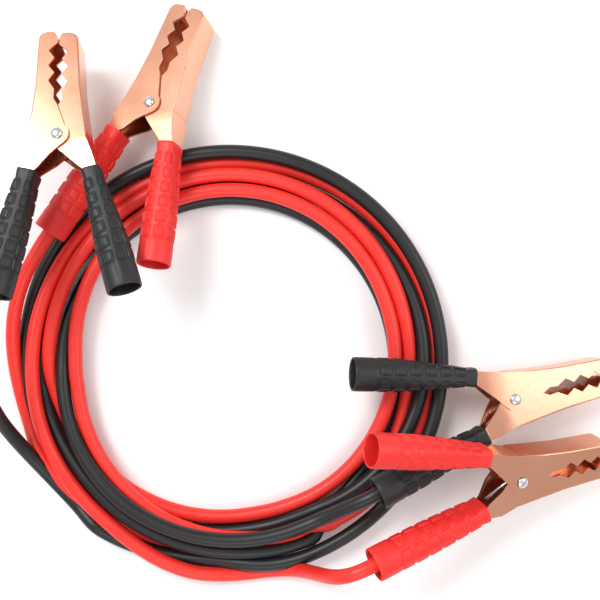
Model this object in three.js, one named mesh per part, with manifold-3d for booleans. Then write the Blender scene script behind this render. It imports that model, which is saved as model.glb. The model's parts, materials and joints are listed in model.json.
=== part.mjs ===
// Car jumper cable set: four spring clamps on a red and a black cable, lying as one flat coil.
// Millimetres, +Z up, the floor is z = 0. The viewer of the photograph looks straight down.
import * as THREE from 'three';
import { mergeVertices } from 'three/addons/utils/BufferGeometryUtils.js';
import Module from 'manifold-3d';

const wasm = await Module();
wasm.setup();

// Clearances
const TOUCH_GAP = 0.3;
const PIVOT_GAP = 0.3;

// Jaw stamping, seen in the clamp's plane: u runs to the jaw tips, v to one side
const JAW_LENGTH = 62;
const JAW_HALF_WIDTH = 11;
const SHOULDER_WIDTH = 16;
const MIDDLE_SWELL = 1.3;
const BACK_SWELL = 3;
const NOSE_DEPTH = 4;
const SHEET = 1.5;
const CHANNEL_HEIGHT = 18.6;
const HANDLE_HEIGHT = 12.4;
const HANDLE_WIDTH = 7;
const EAR_RADIUS = 6.5;
const BEND_INSET = 1;
const PARTING_GAP = 0.3;

// Teeth along the parting line
const TOOTH_COUNT = 3;
const TOOTH_PITCH = 9.2;
const FIRST_NOTCH = 50.5;
const NOTCH_DEPTH = 5.2;
const TOOTH_GAP = 1.9;
const THROAT_WIDTH = 2.4;

// Handles and grip sleeves
const COLLAR_U = -19;
const COLLAR_V = 17;
const HANDLE_ANGLE = 14.5;
const SLEEVE_LENGTH = 71;
const SLEEVE_END_RADIUS = 9.75;
const COLLAR_HALF_HEIGHT = 8.8;
const COLLAR_HALF_WIDTH = 5.7;
const SLEEVE_WALL = 1.1;
const SLEEVE_END_WALL = 1.5;
const BLEND_START = 6;
const BLEND_END = 46;
const HANDLE_IN_SLEEVE = 40;

// Rivet and torsion spring
const RIVET_RADIUS = 2.2;
const RIVET_HEAD_RADIUS = 3.2;
const RIVET_HEAD_HEIGHT = 1.5;
const SPRING_WIRE = 1.8;
const SPRING_RADIUS = 4.1;
const SPRING_TURNS = 3;
const SPRING_PITCH = 2.2;
const SPRING_START = 305;
const SPRING_LAST_TURN = 110;
const SPRING_LEG_SHORT = 3;
const SPRING_LEG_GAP = 1;
const STEPS_PER_TURN = 10;

// Cables
const CABLE_DIAMETER = 8.4;
const COIL_CENTRE = [-39.6, -35.5];
const COIL_OUTER_RADIUS = 122.5;
const COIL_INNER_RADIUS = 88;
const COIL_HEIGHT = 17.3;
const COIL_EDGE = 3.5;

// The photograph's centre on the floor, so that the origin lies under the middle of the clamps
const PICTURE_CENTRE = [-5.25, -7.25];

// Where each clamp lies, from the photograph's centre: its pivot in plan, heading, nose-down pitch and roll in degrees, and how
// far its lowest point is above the floor
const CLAMPS = {
  upper_black: { pivot: [-132.8, 88.6], yaw: 93, pitch: 15, roll: 0, lift: 18, free: -1, colour: 'black' },
  upper_red: { pivot: [-83.3, 110.4], yaw: 70, pitch: 9, roll: -20, lift: 0, free: -1, colour: 'red' },
  lower_black: { pivot: [121.2, -57.0], yaw: 12.5, pitch: 9.5, roll: 1, lift: 0, free: 1, colour: 'black' },
  lower_red: { pivot: [120.6, -99.6], yaw: 9, pitch: 19.5, roll: 17, lift: 0, free: 1, colour: 'red' },
};

// Each lead leaves its grip straight and meets the coil along it: where it meets the coil, and how far it
// keeps the direction of each end
const LEADS = {
  upper_red: { meets: [-160.9, -73.4, 4.3], fromGrip: 45, fromCoil: 50 },
  upper_black: { meets: [-132.9, -121.7, 4.3], fromGrip: 60, fromCoil: 75 },
  lower_red: { meets: [-23.1, -161.4, 4.3], fromGrip: 34, fromCoil: 40 },
  lower_black: { meets: [5, -129.5, 21.8], fromGrip: 14, fromCoil: 14 },
};
const LEAD_STEPS = 9;

const rad = THREE.MathUtils.degToRad;

const MATERIALS = {
  copper: { color: 0xdd9a7a, metalness: 1, roughness: 0.3 },
  zinc: { color: 0xc9ced2, metalness: 1, roughness: 0.3 },
  red: { color: 0xd9221c, metalness: 0, roughness: 0.45 },
  black: { color: 0x1c1d1f, metalness: 0, roughness: 0.5 },
};

function material(name) {
  return new THREE.MeshStandardMaterial(MATERIALS[name]);
}

function closed(geometry) {
  const bare = geometry.clone();
  bare.deleteAttribute('normal');
  bare.deleteAttribute('uv');
  return mergeVertices(bare, 1e-4);
}

function solid(geometry) {
  const merged = closed(geometry);
  return new wasm.Manifold(new wasm.Mesh({
    numProp: 3,
    vertProperties: new Float32Array(merged.attributes.position.array),
    triVerts: new Uint32Array(merged.index.array),
  }));
}

function geometryOf(body) {
  const mesh = body.getMesh();
  const geometry = new THREE.BufferGeometry();
  geometry.setAttribute('position', new THREE.BufferAttribute(new Float32Array(mesh.vertProperties), 3));
  geometry.setIndex(new THREE.BufferAttribute(new Uint32Array(mesh.triVerts), 1));
  return flat(geometry);
}

function flat(geometry) {
  const faces = geometry.toNonIndexed();
  faces.computeVertexNormals();
  return faces;
}

// An outline in plan, drawn from one height to another
function prism(points, low, high) {
  const shape = new THREE.Shape(points.map(([x, y]) => new THREE.Vector2(x, y)));
  const geometry = new THREE.ExtrudeGeometry(shape, { depth: high - low, bevelEnabled: false });
  return geometry.translate(0, 0, low);
}

// A side profile in u and z, drawn through the whole width of the clamp
function crossPrism(profile, reach) {
  const geometry = prism(profile, -reach, reach);
  return geometry.rotateX(Math.PI / 2);
}

function arc(cx, cy, radius, from, to, steps) {
  return Array.from({ length: steps + 1 }, (_, i) => {
    const angle = rad(from + ((to - from) * i) / steps);
    return [cx + radius * Math.cos(angle), cy + radius * Math.sin(angle)];
  });
}

// A point of the handle's axis, along from the collar and across to the outside
function handlePoint(along, across = 0) {
  const a = rad(HANDLE_ANGLE);
  return [
    COLLAR_U - along * Math.cos(a) + across * Math.sin(a),
    COLLAR_V + along * Math.sin(a) + across * Math.cos(a),
  ];
}

// The outer edge of a stamping from nose to handle end, moved in by the sheet for its hollow
function outerEdge(inset) {
  const half = HANDLE_WIDTH / 2 - inset;
  return [
    [JAW_LENGTH - inset, PARTING_GAP / 2 + NOSE_DEPTH / 2],
    [JAW_LENGTH - inset, JAW_HALF_WIDTH - NOSE_DEPTH],
    ...arc(
      JAW_LENGTH - NOSE_DEPTH, JAW_HALF_WIDTH - NOSE_DEPTH, NOSE_DEPTH - inset, 30, 90, 2,
    ),
    [JAW_LENGTH / 2, JAW_HALF_WIDTH + MIDDLE_SWELL - inset],
    [JAW_LENGTH / 4, JAW_HALF_WIDTH + BACK_SWELL - inset],
    [0, SHOULDER_WIDTH - inset],
    handlePoint(0, half),
    handlePoint(HANDLE_IN_SLEEVE - inset, half),
  ];
}

function stampingOutline() {
  const inner = HANDLE_WIDTH / 2;
  return [
    ...outerEdge(0),
    handlePoint(HANDLE_IN_SLEEVE, -inner),
    handlePoint(0, -inner),
    ...arc(0, 0, EAR_RADIUS, 215, 322, 5),
    ...teethUp(),
    [JAW_LENGTH - NOSE_DEPTH, PARTING_GAP / 2],
    [JAW_LENGTH - NOSE_DEPTH / 3, PARTING_GAP / 2 + 1],
  ];
}

// From the throat up to the first notch behind the nose
function teethUp() {
  const last = FIRST_NOTCH - (TOOTH_COUNT - 1) * TOOTH_PITCH;
  const edge = [
    [last - TOOTH_PITCH * 1.6, PARTING_GAP / 2],
    [last - TOOTH_PITCH * 1.15, THROAT_WIDTH],
    [last - TOOTH_PITCH * 0.6, TOOTH_GAP],
  ];
  for (let i = TOOTH_COUNT - 1; i >= 0; i -= 1) {
    const notch = FIRST_NOTCH - i * TOOTH_PITCH;
    edge.push([notch, NOTCH_DEPTH], [notch + TOOTH_PITCH / 2, i > 0 ? TOOTH_GAP : PARTING_GAP / 2]);
  }
  return edge;
}

// The hollow of the channel: everything inside the web, open towards the other half
function hollowOutline() {
  const far = SHOULDER_WIDTH * 3;
  const pastEnd = HANDLE_IN_SLEEVE + HANDLE_WIDTH;
  return [
    ...outerEdge(SHEET).slice(1),
    handlePoint(pastEnd, HANDLE_WIDTH / 2 - SHEET),
    handlePoint(pastEnd, -far),
    [JAW_LENGTH - SHEET, -far],
    [JAW_LENGTH - SHEET, 0],
  ];
}

function sideProfile(inset) {
  const tall = CHANNEL_HEIGHT / 2 - inset;
  const low = HANDLE_HEIGHT / 2 - inset;
  const front = JAW_LENGTH * 2;
  const back = -SLEEVE_LENGTH * 2;
  const bendStart = (COLLAR_U - EAR_RADIUS) / 2 + BEND_INSET;
  const bendEnd = COLLAR_U + BEND_INSET;
  return [
    [front, -tall], [front, tall],
    [bendStart, tall], [bendEnd, low], [back, low],
    [back, -low], [bendEnd, -low], [bendStart, -tall],
  ];
}

function stamping() {
  const reach = SHOULDER_WIDTH * 4;
  const plan = solid(prism(stampingOutline(), -CHANNEL_HEIGHT, CHANNEL_HEIGHT));
  const block = plan.intersect(solid(crossPrism(sideProfile(0), reach)));
  const room = solid(prism(hollowOutline(), -CHANNEL_HEIGHT, CHANNEL_HEIGHT))
    .intersect(solid(crossPrism(sideProfile(SHEET), reach)));
  const hole = new THREE.CylinderGeometry(
    RIVET_RADIUS + PIVOT_GAP, RIVET_RADIUS + PIVOT_GAP, CHANNEL_HEIGHT * 2, 16,
  ).rotateX(Math.PI / 2);
  return geometryOf(block.subtract(room).subtract(solid(hole)));
}

// A sleeve: near-rectangular round the handle at the collar, round at the open end
function sleeve() {
  const stations = [0, BLEND_START, BLEND_END, SLEEVE_LENGTH];
  const outer = stations.map((w) => new THREE.Vector2(1, w));
  const inner = stations.slice().reverse().map((w) => new THREE.Vector2(0.5, w));
  const geometry = closed(new THREE.LatheGeometry([...outer, ...inner, outer[0]], 24));
  const place = geometry.attributes.position;
  for (let i = 0; i < place.count; i += 1) {
    const w = place.getY(i);
    const angle = Math.atan2(place.getZ(i), place.getX(i));
    const share = THREE.MathUtils.clamp((w - BLEND_START) / (BLEND_END - BLEND_START), 0, 1);
    const isInner = Math.hypot(place.getX(i), place.getZ(i)) < 0.75;
    const wall = isInner ? THREE.MathUtils.lerp(SLEEVE_WALL, SLEEVE_END_WALL, share) : 0;
    const across = THREE.MathUtils.lerp(COLLAR_HALF_WIDTH, SLEEVE_END_RADIUS, share) - wall;
    const tall = THREE.MathUtils.lerp(COLLAR_HALF_HEIGHT, SLEEVE_END_RADIUS, share) - wall;
    const power = 2 / THREE.MathUtils.lerp(4, 2, share);
    const c = Math.cos(angle);
    const s = Math.sin(angle);
    place.setXYZ(
      i, Math.sign(c) * across * Math.abs(c) ** power, w, Math.sign(s) * tall * Math.abs(s) ** power,
    );
  }
  geometry.rotateZ(rad(90 - HANDLE_ANGLE));
  geometry.translate(COLLAR_U, COLLAR_V, 0);
  return flat(geometry);
}

function rivet() {
  const top = CHANNEL_HEIGHT / 2 + SHEET / 2 + 2 * TOUCH_GAP;
  const profile = [
    [0, -top - RIVET_HEAD_HEIGHT],
    [RIVET_HEAD_RADIUS * 0.6, -top - RIVET_HEAD_HEIGHT * 0.85],
    [RIVET_HEAD_RADIUS, -top - RIVET_HEAD_HEIGHT * 0.3],
    [RIVET_HEAD_RADIUS, -top],
    [RIVET_RADIUS, -top],
    [RIVET_RADIUS, top],
    [RIVET_HEAD_RADIUS, top],
    [RIVET_HEAD_RADIUS, top + RIVET_HEAD_HEIGHT * 0.3],
    [RIVET_HEAD_RADIUS * 0.6, top + RIVET_HEAD_HEIGHT * 0.85],
    [0, top + RIVET_HEAD_HEIGHT],
  ].map(([x, y]) => new THREE.Vector2(x, y));
  return flat(closed(new THREE.LatheGeometry(profile, 16)).rotateX(Math.PI / 2));
}

// A path that a tube follows corner by corner, one step to each point
class Route extends THREE.Curve {
  constructor(points) {
    super();
    this.points = points;
  }

  getPoint(t, target = new THREE.Vector3()) {
    const place = t * (this.points.length - 1);
    const i = Math.min(Math.floor(place), this.points.length - 2);
    return target.lerpVectors(this.points[i], this.points[i + 1], place - i);
  }

  getPointAt(t, target) {
    return this.getPoint(t, target);
  }

  getTangentAt(t, target = new THREE.Vector3()) {
    const i = Math.round(t * (this.points.length - 1));
    const before = this.points[Math.max(i - 1, 0)];
    const after = this.points[Math.min(i + 1, this.points.length - 1)];
    return target.subVectors(after, before).normalize();
  }
}

function tube(points, diameter, sides) {
  const section = new THREE.Shape(
    arc(0, 0, diameter / 2, 0, 360 - 360 / sides, sides - 1).map(([x, y]) => new THREE.Vector2(x, y)),
  );
  const path = new Route(points);
  const geometry = new THREE.ExtrudeGeometry(section, { steps: points.length - 1, extrudePath: path });
  return flat(closed(geometry));
}

// The winding turns round the rivet, and a straight leg from each end presses on a handle from inside
function spring() {
  const legEnd = COLLAR_U + SPRING_LEG_SHORT;
  const legAcross = SHOULDER_WIDTH - SHEET - SPRING_WIRE / 2 - SPRING_LEG_GAP;
  const half = (SPRING_TURNS * SPRING_PITCH) / 2;
  const points = [new THREE.Vector3(legEnd, -legAcross, -half)];
  const sweep = (SPRING_TURNS - 1) * 360 + SPRING_LAST_TURN;
  const steps = Math.round((sweep / 360) * STEPS_PER_TURN);
  for (let i = 0; i <= steps; i += 1) {
    const angle = rad(SPRING_START + (sweep * i) / steps);
    const z = -half + (2 * half * i) / steps;
    points.push(new THREE.Vector3(SPRING_RADIUS * Math.cos(angle), SPRING_RADIUS * Math.sin(angle), z));
  }
  points.push(new THREE.Vector3(legEnd, legAcross, half));
  return tube(points, SPRING_WIRE, 6);
}

const set = new THREE.Group();

function addPart(parent, name, geometry, finish) {
  const mesh = new THREE.Mesh(geometry, material(finish));
  mesh.name = name;
  parent.add(mesh);
  return mesh;
}

const placed = {};
const stagger = (SHEET + TOUCH_GAP) / 2;

// One clamp: the half on each side is the same stamping, a sheet's thickness higher or lower
for (const [name, at] of Object.entries(CLAMPS)) {
  const clamp = new THREE.Group();
  clamp.rotation.set(rad(at.roll), rad(at.pitch), rad(at.yaw), 'ZYX');
  clamp.position.set(at.pivot[0], at.pivot[1], 0);
  const sides = { free: at.free, cable: -at.free };
  for (const [half, side] of Object.entries(sides)) {
    const level = side > 0 ? stagger : -stagger;
    const jaw = addPart(clamp, `${name}_${half}_jaw`, stamping(), 'copper');
    const grip = addPart(clamp, `${name}_${half}_grip`, sleeve(), at.colour);
    if (side < 0) {
      jaw.rotation.x = Math.PI;
      grip.rotation.x = Math.PI;
    }
    jaw.position.z = level;
    grip.position.z = level;
  }
  addPart(clamp, `${name}_rivet`, rivet(), 'zinc');
  addPart(clamp, `${name}_spring`, spring(), 'zinc');
  set.add(clamp);
  set.updateMatrixWorld(true);
  clamp.position.z = at.lift - new THREE.Box3().setFromObject(clamp, true).min.z;
  placed[name] = clamp;
}

set.updateMatrixWorld(true);

// The coil both cables lie in, as one ring of its outer shape
function coil() {
  const [inner, outer] = [COIL_INNER_RADIUS, COIL_OUTER_RADIUS];
  const profile = [
    [inner + COIL_EDGE, 0],
    [outer - COIL_EDGE, 0],
    [outer, COIL_EDGE],
    [outer, COIL_HEIGHT - COIL_EDGE],
    [outer - COIL_EDGE, COIL_HEIGHT],
    [inner + COIL_EDGE, COIL_HEIGHT],
    [inner, COIL_HEIGHT - COIL_EDGE],
    [inner, COIL_EDGE],
    [inner + COIL_EDGE, 0],
  ].map(([x, y]) => new THREE.Vector2(x, y));
  const ring = closed(new THREE.LatheGeometry(profile, 48)).rotateX(Math.PI / 2);
  return flat(ring.translate(COIL_CENTRE[0], COIL_CENTRE[1], 0));
}

addPart(set, 'cable_coil', coil(), 'red');

// Each lead starts on its grip's axis inside the sleeve, and bends on one smooth curve to the coil's edge
for (const [name, { meets, fromGrip, fromCoil }] of Object.entries(LEADS)) {
  const { free, colour } = CLAMPS[name];
  const onAxis = (along) => {
    const [u, v] = handlePoint(along);
    return placed[name].localToWorld(new THREE.Vector3(u, -free * v, -free * stagger));
  };
  const end = new THREE.Vector3(...meets);
  const round = new THREE.Vector3(COIL_CENTRE[1] - end.y, end.x - COIL_CENTRE[0], 0).normalize();
  const bend = new THREE.CubicBezierCurve3(
    onAxis(SLEEVE_LENGTH), onAxis(SLEEVE_LENGTH + fromGrip), end.clone().addScaledVector(round, free * fromCoil), end,
  );
  const route = [onAxis(HANDLE_IN_SLEEVE + TOUCH_GAP), ...bend.getPoints(LEAD_STEPS)];
  addPart(set, `${name}_lead`, tube(route, CABLE_DIAMETER, 10), colour);
}

const part = new THREE.Group();
set.position.set(PICTURE_CENTRE[0], PICTURE_CENTRE[1], 0);
part.add(set);

export default part;
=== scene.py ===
"""Jumper cables in one flat coil: a red and a black cable with a spring clamp on every end."""

import json
import math

import bpy
import numpy as np
from mathutils import Euler, Matrix, Vector


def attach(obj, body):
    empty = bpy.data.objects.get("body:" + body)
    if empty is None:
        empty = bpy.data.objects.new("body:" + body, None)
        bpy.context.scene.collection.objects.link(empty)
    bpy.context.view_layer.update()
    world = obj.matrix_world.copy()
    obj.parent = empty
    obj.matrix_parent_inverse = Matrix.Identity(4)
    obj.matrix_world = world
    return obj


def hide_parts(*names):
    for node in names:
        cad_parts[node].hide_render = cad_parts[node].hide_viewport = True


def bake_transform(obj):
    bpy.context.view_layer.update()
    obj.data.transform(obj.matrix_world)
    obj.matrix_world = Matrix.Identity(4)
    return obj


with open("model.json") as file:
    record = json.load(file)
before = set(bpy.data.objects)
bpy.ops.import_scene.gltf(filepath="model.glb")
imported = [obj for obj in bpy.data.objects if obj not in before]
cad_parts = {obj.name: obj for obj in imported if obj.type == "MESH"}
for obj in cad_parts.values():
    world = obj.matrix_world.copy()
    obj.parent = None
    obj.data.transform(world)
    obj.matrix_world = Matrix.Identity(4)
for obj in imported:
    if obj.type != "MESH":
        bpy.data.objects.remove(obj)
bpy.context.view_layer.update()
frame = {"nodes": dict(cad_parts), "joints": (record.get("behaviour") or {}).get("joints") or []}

# The camera looks straight down on the coil from 0.6 m, over the middle of the picture, and its frame
# takes in 0.36 m of floor each way.
mm = 0.001
camera = bpy.data.cameras.new("camera")
camera.sensor_width = 36
camera.lens = 60
camera.clip_start = 0.01
viewer = bpy.data.objects.new("camera", camera)
viewer.location = (-5.25 * mm, -7.25 * mm, 600 * mm)
bpy.context.scene.collection.objects.link(viewer)
bpy.context.scene.camera = viewer

# Both cables are 8.4 mm flexible wire in a satin PVC sheath. Each leaves an upper clamp, runs about
# 3.2 turns round the coil and ends in a lower clamp, and the turns lie on each other.
cable_radius = 4.2 * mm
coil_centre = Vector((-44.85, -42.75, 0)) * mm
picture_centre = Vector((-5.25, -7.25, 0)) * mm
half_offset = 0.9 * mm
collar_back = 19 * mm
collar_out = 17 * mm
handle_splay = 14.5
channel_height = 18.6 * mm
clamp_lay = {
    "upper_black": {"turn": (0, 15, 93), "free": -1, "colour": "black"},
    "upper_red": {"turn": (-20, 9, 70), "free": -1, "colour": "red"},
    "lower_black": {"turn": (1, 9.5, 12.5), "free": 1, "colour": "black"},
    "lower_red": {"turn": (17, 19.5, 9), "free": 1, "colour": "red"},
}
for joint in frame["joints"]:
    clamp = clamp_lay[joint["name"].removesuffix("_squeeze")]
    roll, pitch, yaw = (math.radians(angle) for angle in clamp["turn"])
    turned = Euler((roll, pitch, yaw), "XYZ").to_matrix().to_4x4()
    clamp["place"] = Matrix.Translation(joint["pos_m"]) @ turned


def handle_point(along):
    """A point of a handle's axis in the clamp's plane, along from the collar."""
    a = math.radians(handle_splay)
    return Vector((-collar_back - along * math.cos(a), collar_out + along * math.sin(a), 0))


def on_cable_side(name, along):
    """The point of the cable-side grip's axis of one clamp, in the row frame."""
    free = clamp_lay[name]["free"]
    u, v, _ = handle_point(along)
    return clamp_lay[name]["place"] @ Vector((u, -free * v, -free * half_offset))


# Where each loose stretch meets the coil, in millimetres from the middle of the picture, and how far it keeps
# the direction of the grip and of the coil.
leads = {
    "upper_red": {"meets": (-160.9, -73.4, 4.3), "from_grip": 45, "from_coil": 50},
    "upper_black": {"meets": (-132.9, -121.7, 4.3), "from_grip": 60, "from_coil": 75},
    "lower_red": {"meets": (-23.1, -161.4, 4.3), "from_grip": 34, "from_coil": 40},
    "lower_black": {"meets": (5, -129.5, 21.8), "from_grip": 14, "from_coil": 14},
}

# The turns of each cable round the coil: angle in degrees, radius and height in millimetres.
turns = {
    "red": [
        (205, 126, 4.3), (213, 124, 4.3), (230, 119.4, 4.3), (250, 114, 4.3), (270, 110.6, 4.3),
        (300, 107, 4.3), (330, 105, 9), (360, 105, 12.9), (405, 109, 12.9), (450, 111.5, 12.9),
        (495, 110, 12.9), (530, 109.5, 12.9), (545, 108.5, 11), (560, 105, 6), (585, 99, 4.3),
        (630, 94, 4.3), (680, 94, 7), (720, 96.6, 12.9), (765, 99, 12.9), (810, 101.8, 12.9),
        (855, 102, 12.9), (900, 102, 12.9), (919, 101.5, 12.9), (936, 100, 12.9), (951, 99.6, 12.9),
        (962, 104.5, 12.9), (980, 106.8, 12.9), (992, 109.8, 12.9), (1009, 113.8, 12.9), (1021, 116, 11),
        (1050, 118, 5), (1080, 117.8, 4.3), (1170, 117.5, 4.3), (1215, 116.5, 9), (1240, 117, 12.9),
        (1260, 117, 12.9), (1284, 114, 12.9), (1297, 114.4, 12.9), (1308, 117.5, 12.9), (1321, 121.3, 11),
        (1332, 125.5, 7), (1345, 127, 4.4), (1355, 127, 4.3),
    ],
    "black": [
        (230, 126.8, 4.3), (240, 124, 4.3), (250, 121.5, 4.3), (264, 116.5, 10.5), (276, 118, 12.9),
        (288, 118.8, 12.9), (300, 120.4, 12.9), (315, 122.5, 12.9), (340, 122, 12.9), (360, 122.5, 12.9),
        (405, 122, 12.9), (450, 121.2, 12.9), (480, 120.5, 11), (510, 121, 6), (540, 122, 4.3),
        (563, 121.5, 4.3), (575, 118, 4.3), (590, 110.5, 4.3), (630, 102.3, 4.3), (660, 105, 6),
        (700, 112, 12), (720, 113.3, 12.9), (750, 112, 10), (790, 106, 4.3), (830, 106, 4.3),
        (900, 111, 4.3), (940, 112, 4.3), (962, 109, 5), (990, 119, 4.3), (1015, 110, 4.3),
        (1050, 96, 4.3), (1080, 93, 4.3), (1170, 96.5, 4.3), (1247, 97, 4.3), (1260, 100, 5),
        (1270, 105, 10), (1277.6, 108.5, 13.5), (1288, 107.7, 17), (1298, 105.7, 20), (1308, 104, 21),
        (1318, 102.6, 21), (1329, 100.5, 21), (1339, 99.9, 21), (1350, 101.5, 21), (1360, 103, 21.6),
        (1370, 103.8, 21.8),
    ],
}
step = 5
strands = {}
for colour, stations in turns.items():
    angles = np.arange(stations[0][0], stations[-1][0] + 1, step)
    given = np.array(stations, float)
    strands[colour] = {
        "angle": angles,
        "aim": np.stack([np.interp(angles, given[:, 0], given[:, k]) for k in (1, 2)], axis=1),
    }
    strands[colour]["at"] = strands[colour]["aim"].copy()
sections = {}
for colour, strand in strands.items():
    for i, angle in enumerate(strand["angle"]):
        sections.setdefault(int(angle) % 360, []).append((colour, i))

# Strands that share a section push each other apart to one diameter, and each stays smooth along its length.
apart = 8.55
rounds = 420
settling_rounds = 300
smoothing = 0.24
lowest, highest, third_layer_highest = 4.25, 13.0, 22
innermost, outermost = 92.2, 127.2
third_layer_from = 1272
for round_number in range(rounds):
    settling = round_number < settling_rounds
    for colour, strand in strands.items():
        at, aim = strand["at"], strand["aim"]
        if settling:
            at += (aim - at) * (0.03, 0.015)
        at[1:-1] += (at[:-2] + at[2:] - 2 * at[1:-1]) * smoothing
    for here in sections.values():
        for first in range(len(here)):
            for second in range(first + 1, len(here)):
                p = strands[here[first][0]]["at"][here[first][1]]
                q = strands[here[second][0]]["at"][here[second][1]]
                gap = q - p
                distance = max(float(np.hypot(*gap)), 0.01)
                if distance < apart:
                    push = gap / distance * (apart - distance) / 2
                    p -= push
                    q += push
    for colour, strand in strands.items():
        at = strand["at"]
        third_layer = (strand["angle"] > third_layer_from) & (colour == "black")
        at[:, 1] = np.clip(at[:, 1], lowest, np.where(third_layer, third_layer_highest, highest))
        at[:, 0] = np.clip(at[:, 0], innermost, outermost)


def smooth_route(points, spacing):
    """Evenly spaced points on the smooth curve through the given ones."""
    p = np.array([2 * points[0] - points[1], *points, 2 * points[-1] - points[-2]], float)
    dense = []
    for i in range(1, len(p) - 2):
        for t in np.linspace(0, 1, 12, endpoint=False):
            dense.append(
                0.5 * (2 * p[i] + (p[i + 1] - p[i - 1]) * t
                       + (2 * p[i - 1] - 5 * p[i] + 4 * p[i + 1] - p[i + 2]) * t**2
                       + (3 * p[i] - p[i - 1] - 3 * p[i + 1] + p[i + 2]) * t**3)
            )
    dense = np.array([*dense, p[-2]])
    run = np.concatenate([[0], np.cumsum(np.linalg.norm(np.diff(dense, axis=0), axis=1))])
    count = int(run[-1] / spacing) + 1
    even = np.linspace(0, run[-1], count)
    return np.stack([np.interp(even, run, dense[:, k]) for k in range(3)], axis=1)


def whole_route(colour):
    """One cable's centreline from its upper clamp, round the coil and into its lower clamp."""
    def lead(name):
        given = leads[name]
        end = picture_centre + Vector(given["meets"]) * mm
        out = end - coil_centre
        round_coil = Vector((-out.y, out.x, 0)).normalized()
        corners = [
            on_cable_side(name, 71 * mm), on_cable_side(name, (71 + given["from_grip"]) * mm),
            end + round_coil * clamp_lay[name]["free"] * given["from_coil"] * mm, end,
        ]
        bend = []
        for i in range(10):
            t = i / 9
            weights = ((1 - t) ** 3, 3 * t * (1 - t) ** 2, 3 * t * t * (1 - t), t**3)
            bend.append(sum((corner * weight for corner, weight in zip(corners, weights)), Vector()))
        return [on_cable_side(name, 43 * mm), on_cable_side(name, 57 * mm), *bend]

    wound = []
    for angle, (radius, height) in zip(strands[colour]["angle"], strands[colour]["at"]):
        a = math.radians(angle)
        wound.append(coil_centre + Vector((radius * math.cos(a), radius * math.sin(a), height)) * mm)
    points = [*lead(f"upper_{colour}"), *wound, *reversed(lead(f"lower_{colour}"))]
    return smooth_route([np.array(point) for point in points], 3.2 * mm)


def cable_tube(name, route, radius):
    """A round tube with closed ends along a route, as a mesh."""
    curve = bpy.data.curves.new(name, "CURVE")
    curve.dimensions = "3D"
    curve.bevel_depth = radius
    curve.bevel_resolution = 4
    curve.use_fill_caps = True
    spline = curve.splines.new("POLY")
    spline.points.add(len(route) - 1)
    for point, place in zip(spline.points, route):
        point.co = (*place, 1)
    tube = bpy.data.objects.new(name, curve)
    bpy.context.scene.collection.objects.link(tube)
    bpy.ops.object.select_all(action="DESELECT")
    tube.select_set(True)
    bpy.context.view_layer.objects.active = tube
    bpy.ops.object.convert(target="MESH")
    made = bpy.context.view_layer.objects.active
    bpy.ops.object.mode_set(mode="EDIT")
    bpy.ops.mesh.select_all(action="SELECT")
    bpy.ops.mesh.remove_doubles(threshold=0.00001)
    bpy.ops.mesh.normals_make_consistent(inside=False)
    bpy.ops.object.mode_set(mode="OBJECT")
    bpy.ops.object.shade_smooth()
    return made


class Wire:
    """A shader socket that takes part in ordinary arithmetic."""

    def __init__(self, tree, socket):
        self.tree = tree
        self.socket = socket

    def node(self, kind, settings=None, **inputs):
        made = self.tree.nodes.new(kind)
        for name, value in (settings or {}).items():
            setattr(made, name, value)
        for name, value in inputs.items():
            key = name.replace("_", " ") if not name.startswith("in") else int(name[2:])
            target = made.inputs[key]
            if isinstance(value, Wire):
                self.tree.links.new(value.socket, target)
            else:
                target.default_value = value
        return made

    def out(self, made, name=0):
        return Wire(self.tree, made.outputs[name])

    def maths(self, operation, other):
        made = self.tree.nodes.new("ShaderNodeMath")
        made.operation = operation
        for slot, value in enumerate((self, other)):
            if isinstance(value, Wire):
                self.tree.links.new(value.socket, made.inputs[slot])
            else:
                made.inputs[slot].default_value = value
        return Wire(self.tree, made.outputs[0])

    def __add__(self, other):
        return self.maths("ADD", other)

    def __mul__(self, other):
        return self.maths("MULTIPLY", other)

    def noise(self, scale, detail=2.0):
        return self.out(self.node("ShaderNodeTexNoise", Vector=self, Scale=scale, Detail=detail), "Fac")

    def stretched(self, x, y, z):
        return self.out(self.node("ShaderNodeMapping", Vector=self, Scale=(x, y, z)))

    def mixed(self, low, high):
        made = self.node("ShaderNodeMix", {"data_type": "RGBA"}, in0=self, in6=(*low, 1), in7=(*high, 1))
        return Wire(self.tree, made.outputs[2])

    def between(self, low, high):
        return self * (high - low) + low


def new_finish(name):
    """An empty material, its shader node and the place on the piece that its pattern reads."""
    finish = bpy.data.materials.new(name)
    finish.use_nodes = True
    shader = finish.node_tree.nodes["Principled BSDF"]
    coordinates = finish.node_tree.nodes.new("ShaderNodeTexCoord")
    return finish, shader, Wire(finish.node_tree, coordinates.outputs["Object"])


def feed(finish, shader, **inputs):
    """Joins worked-out values to the shader's sockets."""
    for name, value in inputs.items():
        finish.node_tree.links.new(value.socket, shader.inputs[name.replace("_", " ")])


def bump(place, height, strength, distance):
    made = place.node("ShaderNodeBump", Height=height, Strength=strength, Distance=distance)
    return place.out(made, "Normal")


def sheath_finish(name, dark, light):
    """Satin PVC as it leaves the extruder: faintly uneven along its length, with scuffs and dull patches."""
    finish, shader, place = new_finish(name)
    cloud = place.noise(38, 3)
    scuff = place.noise(420, 4)
    feed(
        finish, shader,
        Base_Color=(cloud * 0.7 + scuff * 0.3).mixed(dark, light),
        Roughness=(cloud * 0.5 + scuff * 0.5).between(0.3, 0.52),
        Normal=bump(place, scuff * 0.4 + place.noise(1500, 2) * 0.6, 0.12, 0.0002),
    )
    shader.inputs["Specular IOR Level"].default_value = 0.45
    return finish


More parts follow.
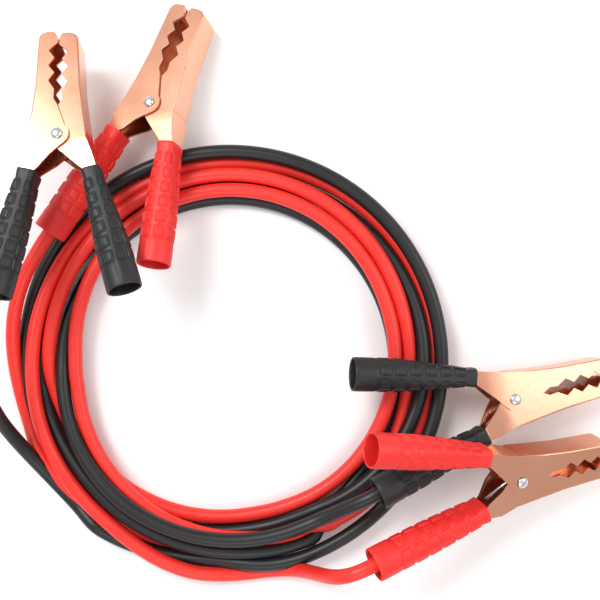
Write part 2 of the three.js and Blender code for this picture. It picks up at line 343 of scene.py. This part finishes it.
sheaths = {
    "red": sheath_finish("red_sheath", (0.74, 0.016, 0.012), (0.9, 0.045, 0.03)),
    "black": sheath_finish("black_sheath", (0.006, 0.006, 0.007), (0.014, 0.014, 0.015)),
}
for colour in ("red", "black"):
    route = whole_route(colour)
    cable = cable_tube(f"{colour}_cable", route, cable_radius)
    cable.data.materials.append(sheaths[colour])
    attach(cable, "cable_set")
    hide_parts(f"upper_{colour}_lead", f"lower_{colour}_lead", "cable_coil")
    on_cable_side(f"upper_{colour}", 70 * mm)


# Each half of a clamp is one pressed sheet of copper-plated steel: a channel with a rounded back, a domed
# nose, three diamond teeth along the web, and a narrow handle that the sleeve is pushed over.
def worked_on(piece):
    """Makes a piece the only selected and active one."""
    bpy.ops.object.select_all(action="DESELECT")
    piece.select_set(True)
    bpy.context.view_layer.objects.active = piece


def half_place(name, half):
    """Where one half of a clamp lies: the cable half is turned over, a sheet's thickness off."""
    side = clamp_lay[name]["free"] * (1 if half == "free" else -1)
    place = clamp_lay[name]["place"] @ Matrix.Translation((0, 0, side * half_offset))
    return place @ Matrix.Rotation(math.pi, 4, "X") if side < 0 else place


def copy_of_node(node, name):
    """A separate, merged copy of a CAD node's mesh."""
    piece = bpy.data.objects.new(name, frame["nodes"][node].data.copy())
    bpy.context.scene.collection.objects.link(piece)
    worked_on(piece)
    piece.data.materials.clear()
    bpy.ops.object.mode_set(mode="EDIT")
    bpy.ops.mesh.select_all(action="SELECT")
    bpy.ops.mesh.remove_doubles(threshold=0.00002)
    bpy.ops.mesh.dissolve_limited(angle_limit=math.radians(0.5))
    bpy.ops.object.mode_set(mode="OBJECT")
    return piece


def plated_finish():
    """Copper plate over pressed steel: bright, lightly brushed lengthways, duller in clouds."""
    finish, shader, place = new_finish("copper_plate")
    cloud = place.noise(22, 3)
    streak = place.stretched(1, 1, 14).noise(300, 3)
    feed(
        finish, shader,
        Base_Color=cloud.mixed((0.78, 0.34, 0.20), (0.93, 0.50, 0.35)),
        Roughness=(cloud * 0.6 + streak * 0.4).between(0.14, 0.36),
        Normal=bump(place, streak, 0.05, 0.0002),
    )
    shader.inputs["Metallic"].default_value = 1.0
    return finish


copper = plated_finish()
jaw_master = copy_of_node("lower_black_free_jaw", "jaw_master")
jaw_master.data.transform(half_place("lower_black", "free").inverted())
bpy.ops.object.mode_set(mode="EDIT")
bpy.ops.mesh.select_all(action="DESELECT")
bpy.ops.object.mode_set(mode="OBJECT")
web_level = channel_height / 2
for edge in jaw_master.data.edges:
    ends = [jaw_master.data.vertices[i].co for i in edge.vertices]
    on_web_face = all(abs(abs(end.z) - web_level) < 0.05 * mm for end in ends)
    outside = all(end.y > 4.5 * mm and end.x > -8 * mm for end in ends)
    edge.select = on_web_face and outside and not all(
        abs(end.y - 5.2 * mm) < 1.0 * mm for end in ends
    )
bpy.context.tool_settings.mesh_select_mode = (False, True, False)
bpy.ops.object.mode_set(mode="EDIT")
bpy.ops.mesh.bevel(offset=1.6 * mm, segments=4, profile=0.5, clamp_overlap=True)
bpy.ops.object.mode_set(mode="OBJECT")
rounding = jaw_master.modifiers.new("rounding", "BEVEL")
rounding.width = 0.22 * mm
rounding.segments = 2
rounding.limit_method = "ANGLE"
rounding.angle_limit = math.radians(35)
bpy.ops.object.modifier_apply(modifier="rounding")
bpy.ops.object.shade_smooth()
crisp = jaw_master.modifiers.new("crisp", "WEIGHTED_NORMAL")
crisp.keep_sharp = False
crisp.weight = 100
bpy.ops.object.modifier_apply(modifier="crisp")


def placed_copy(master, name, place, finish):
    """A copy of a master piece with its own mesh, laid in its place in the row frame."""
    piece = bpy.data.objects.new(name, master.data.copy())
    bpy.context.scene.collection.objects.link(piece)
    piece.data.transform(place)
    piece.data.materials.clear()
    piece.data.materials.append(finish)
    return piece


for name in clamp_lay:
    for half, body in (("free", f"{name}_free_half"), ("cable", "cable_set")):
        jaw = placed_copy(jaw_master, f"{name}_{half}_plate", half_place(name, half), copper)
        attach(jaw, body)
        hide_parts(f"{name}_{half}_jaw")
bpy.data.objects.remove(jaw_master)

# The sleeves are soft PVC, pushed over the handles: a smooth collar, six rows of raised square blocks
# with an outline pressed into each, and a smooth round end that is open.
sleeve_length = 71 * mm
first_row = 6.4 * mm
row_pitch = 8.7 * mm
block_length = 7.1 * mm
rows = 6
columns = 8
blank_radius = 10 * mm
round_end = 13.5 * mm
collar_half_width, collar_half_height, end_half = 5.7 * mm, 8.8 * mm, 9.75 * mm
morph_from, morph_over = 6 * mm, 40 * mm
bpy.ops.object.select_all(action="DESELECT")
bpy.ops.mesh.primitive_cylinder_add(
    vertices=columns * 6, radius=blank_radius, depth=sleeve_length, end_fill_type="NOTHING",
    location=(0, 0, sleeve_length / 2),
)
sleeve_master = bpy.context.active_object
sleeve_master.name = "sleeve_master"
bpy.ops.object.transform_apply(location=True, rotation=True, scale=True)
bpy.ops.object.mode_set(mode="EDIT")
cuts = [1.0 * mm, sleeve_length - 1.2 * mm, sleeve_length - round_end]
for row in range(rows):
    cuts += [first_row + row * row_pitch, first_row + row * row_pitch + block_length / 2,
             first_row + row * row_pitch + block_length]
for cut in cuts:
    bpy.ops.mesh.select_all(action="SELECT")
    bpy.ops.mesh.bisect(plane_co=(0, 0, cut), plane_no=(0, 0, 1))
bpy.ops.mesh.select_all(action="DESELECT")
bpy.ops.object.mode_set(mode="OBJECT")
bpy.context.tool_settings.mesh_select_mode = (False, False, True)


def select_blocks(piece):
    """Selects the faces of the raised blocks."""
    for face in piece.data.polygons:
        z = face.center.z
        row = math.floor((z - first_row) / row_pitch)
        along = z - first_row - row * row_pitch
        sector = math.degrees(math.atan2(face.center.y, face.center.x)) % (360 / columns)
        width = 360 / columns * 5 / 6
        face.select = 0 <= row < rows and 0 < along < block_length and 0 < sector < width


select_blocks(sleeve_master)
bpy.ops.object.mode_set(mode="EDIT")
bpy.ops.mesh.inset(thickness=0.08 * mm, depth=0.0)
bpy.ops.mesh.inset(thickness=0.28 * mm, depth=0.62 * mm)
bpy.ops.mesh.inset(thickness=0.08 * mm, depth=0.0)
bpy.ops.mesh.inset(thickness=0.38 * mm, depth=0.0)
bpy.ops.mesh.inset(thickness=0.16 * mm, depth=-0.34 * mm)
bpy.ops.mesh.inset(thickness=0.14 * mm, depth=0.0)
bpy.ops.mesh.inset(thickness=0.16 * mm, depth=0.34 * mm)
bpy.ops.object.mode_set(mode="OBJECT")
places = np.array([vertex.co for vertex in sleeve_master.data.vertices])
w = places[:, 2]
turn = np.arctan2(places[:, 1], places[:, 0])
proud = np.hypot(places[:, 0], places[:, 1]) - blank_radius
share = np.clip((w - morph_from) / morph_over, 0, 1)
level = 0.6 * mm * (w < sleeve_length - round_end) * (w > first_row - 1 * mm)
wide = collar_half_width + (end_half - collar_half_width) * share - level
tall = collar_half_height + (end_half - collar_half_height) * share - level
power = 2 / (4 - 2 * share)
cosine, sine = np.cos(turn), np.sin(turn)
x = np.sign(cosine) * (wide + proud) * np.abs(cosine) ** power
y = np.sign(sine) * (tall + proud) * np.abs(sine) ** power
for vertex, place in zip(sleeve_master.data.vertices, np.stack([x, y, w], axis=1)):
    vertex.co = place
worked_on(sleeve_master)
bpy.ops.object.mode_set(mode="EDIT")
bpy.ops.mesh.select_all(action="SELECT")
bpy.ops.mesh.remove_doubles(threshold=0.00001)
bpy.ops.mesh.normals_make_consistent(inside=False)
bpy.ops.object.mode_set(mode="OBJECT")
wall = sleeve_master.modifiers.new("wall", "SOLIDIFY")
wall.thickness = 1.1 * mm
wall.offset = -1
bpy.ops.object.modifier_apply(modifier="wall")
soft = sleeve_master.modifiers.new("soft", "SUBSURF")
soft.levels = 1
soft.render_levels = 1
bpy.ops.object.modifier_apply(modifier="soft")
bpy.ops.object.shade_smooth()
sleeve_turn = Matrix.Translation((-collar_back, collar_out, 0))
sleeve_turn = sleeve_turn @ Matrix.Rotation(math.radians(90 - handle_splay), 4, "Z")
sleeve_turn = sleeve_turn @ Matrix.Rotation(-math.pi / 2, 4, "X")
sleeve_master.data.transform(sleeve_turn)


def sleeve_finish(name, dark, light):
    """Dipped soft PVC: semi-matte, with a fine grain and lighter rubbed places."""
    finish, shader, place = new_finish(name)
    cloud = place.noise(60, 3)
    grain = place.noise(2600, 3)
    feed(
        finish, shader,
        Base_Color=(cloud * 0.6 + grain * 0.4).mixed(dark, light),
        Roughness=(cloud * 0.6 + grain * 0.4).between(0.38, 0.6),
        Normal=bump(place, grain, 0.25, 0.00012),
    )
    shader.inputs["Specular IOR Level"].default_value = 0.5
    return finish


sleeves = {
    "red": sleeve_finish("red_sleeve", (0.7, 0.012, 0.01), (0.86, 0.034, 0.026)),
    "black": sleeve_finish("black_sleeve", (0.006, 0.006, 0.007), (0.016, 0.016, 0.017)),
}
for name, clamp in clamp_lay.items():
    for half, body in (("free", f"{name}_free_half"), ("cable", "cable_set")):
        sleeve = placed_copy(
            sleeve_master, f"{name}_{half}_sleeve", half_place(name, half), sleeves[clamp["colour"]],
        )
        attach(sleeve, body)
        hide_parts(f"{name}_{half}_grip")
bpy.data.objects.remove(sleeve_master)

# A semi-tubular rivet of zinc-plated steel holds the two halves: a domed head on each side, and a shank.
shank_radius = 2.2 * mm
head_radius = 3.2 * mm
head_height = 1.5 * mm
rivet_top = web_level + head_height / 2 + 0.6 * mm
bpy.ops.object.select_all(action="DESELECT")
bpy.ops.mesh.primitive_cylinder_add(vertices=40, radius=shank_radius, depth=2 * rivet_top + 0.1 * mm)
rivet_master = bpy.context.active_object
for side in (1, -1):
    bpy.ops.mesh.primitive_uv_sphere_add(
        segments=40, ring_count=20, radius=head_radius, location=(0, 0, side * rivet_top),
    )
    head = bpy.context.active_object
    bpy.ops.object.mode_set(mode="EDIT")
    bpy.ops.mesh.select_all(action="SELECT")
    bpy.ops.mesh.bisect(
        plane_co=(0, 0, side * rivet_top), plane_no=(0, 0, 1), use_fill=True,
        clear_inner=side > 0, clear_outer=side < 0,
    )
    bpy.ops.mesh.select_all(action="SELECT")
    bpy.ops.transform.resize(
        value=(1, 1, head_height / head_radius), center_override=(0, 0, side * rivet_top),
    )
    bpy.ops.mesh.normals_make_consistent(inside=False)
    bpy.ops.object.mode_set(mode="OBJECT")
    head.select_set(True)
    rivet_master.select_set(True)
    bpy.context.view_layer.objects.active = rivet_master
    bpy.ops.object.join()
bpy.ops.object.transform_apply(location=True, rotation=True, scale=True)
bpy.ops.object.shade_smooth_by_angle(angle=math.radians(40))


def zinc_finish():
    """Bright zinc plate with a faint spangle."""
    finish, shader, place = new_finish("zinc_plate")
    spangle = place.noise(900, 3)
    feed(
        finish, shader,
        Base_Color=spangle.mixed((0.62, 0.66, 0.70), (0.82, 0.86, 0.90)),
        Roughness=spangle.between(0.16, 0.34),
        Normal=bump(place, spangle, 0.08, 0.0001),
    )
    shader.inputs["Metallic"].default_value = 1.0
    return finish


zinc = zinc_finish()
for name, clamp in clamp_lay.items():
    rivet = placed_copy(rivet_master, f"{name}_rivet_pin", clamp["place"], zinc)
    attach(rivet, "cable_set")
    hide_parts(f"{name}_rivet")
bpy.data.objects.remove(rivet_master)

# The torsion spring is 1.8 mm wire, wound 2.3 times round the rivet, with a straight leg to each handle.
leg_end = -16 * mm
leg_across = 12.6 * mm
spring_half = 3.3 * mm
winding_radius = 4.1 * mm
wire_radius = 0.9 * mm
winding_start, winding_sweep, winding_steps = 305, 830, 100
for name, clamp in clamp_lay.items():
    wire = [Vector((leg_end, -leg_across, -spring_half))]
    for i in range(winding_steps + 1):
        angle = math.radians(winding_start + winding_sweep * i / winding_steps)
        height = -spring_half + 2 * spring_half * i / winding_steps
        wire.append(Vector((winding_radius * math.cos(angle), winding_radius * math.sin(angle), height)))
    wire.append(Vector((leg_end, leg_across, spring_half)))
    spring = cable_tube(f"{name}_spring_wire", [clamp["place"] @ point for point in wire], wire_radius)
    spring.data.materials.append(zinc)
    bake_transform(spring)
    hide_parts(f"{name}_spring")

# A pale studio floor with large soft lights overhead.
bpy.ops.object.select_all(action="DESELECT")
bpy.ops.mesh.primitive_plane_add(size=8, location=(0, 0, -0.0002))
floor = bpy.context.active_object
floor.name = "studio_floor"
floor_finish, floor_shader, _ = new_finish("studio_floor")
floor_shader.inputs["Base Color"].default_value = (0.93, 0.93, 0.93, 1)
floor_shader.inputs["Roughness"].default_value = 0.7
floor.data.materials.append(floor_finish)

world = bpy.data.worlds.new("studio")
bpy.context.scene.world = world
bpy.context.scene.view_settings.view_transform = "Standard"
world.use_nodes = True
world.node_tree.nodes["Background"].inputs["Color"].default_value = (1, 1, 1, 1)
world.node_tree.nodes["Background"].inputs["Strength"].default_value = 0.62


def softbox(name, place, aim, size, power):
    """One square area light turned towards a point."""
    light = bpy.data.lights.new(name, "AREA")
    light.shape = "SQUARE"
    light.size = size
    light.energy = power
    lamp = bpy.data.objects.new(name, light)
    lamp.location = place
    lamp.rotation_euler = (Vector(aim) - Vector(place)).to_track_quat("-Z", "Y").to_euler()
    bpy.context.scene.collection.objects.link(lamp)


softbox("key", (-0.7, 0.6, 1.2), (0, 0, 0), 0.6, 15)
softbox("fill", (0.9, 0.2, 0.9), (0, 0, 0), 0.7, 5)
softbox("front", (0.0, -0.9, 1.0), (0, 0, 0), 0.7, 4)
